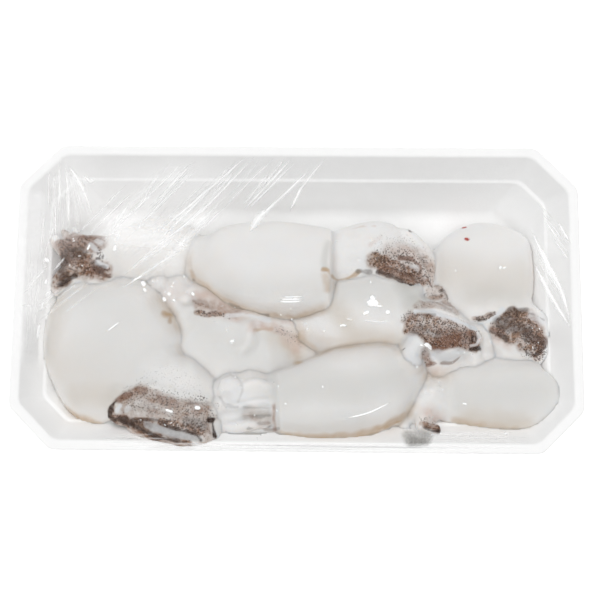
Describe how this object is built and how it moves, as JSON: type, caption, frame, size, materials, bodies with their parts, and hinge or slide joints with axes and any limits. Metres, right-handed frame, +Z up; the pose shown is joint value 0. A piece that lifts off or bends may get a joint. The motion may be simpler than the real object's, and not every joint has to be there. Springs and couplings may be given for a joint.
{
  "type": "tray pack of raw squid",
  "caption": "White foam tray with cut corners, filled with small whole raw squid and closed with clear, creased stretch film.",
  "frame": {"origin": "on the surface the pack stands on, under the middle of the tray", "axes": "+X along the tray's length, +Y across it towards the bare side of the tray, +Z up"},
  "size_m": [0.276, 0.1486, 0.0374],
  "materials": {
    "foam": "white expanded foam, fine beads, faint sheen",
    "squid_flesh": "wet raw flesh, translucent milky white, brown speckled skin on heads and arms",
    "clear_film": "clear glossy stretch film with fine stretch creases"
  },
  "bodies": {
    "root": {"foam_tray": "foam", "squid_1": "squid_flesh", "squid_2": "squid_flesh", "squid_3": "squid_flesh", "squid_4": "squid_flesh", "squid_5": "squid_flesh", "squid_6": "squid_flesh", "squid_7": "squid_flesh", "squid_8": "squid_flesh", "film_wrap": "clear_film"}
  },
  "joints": []
}
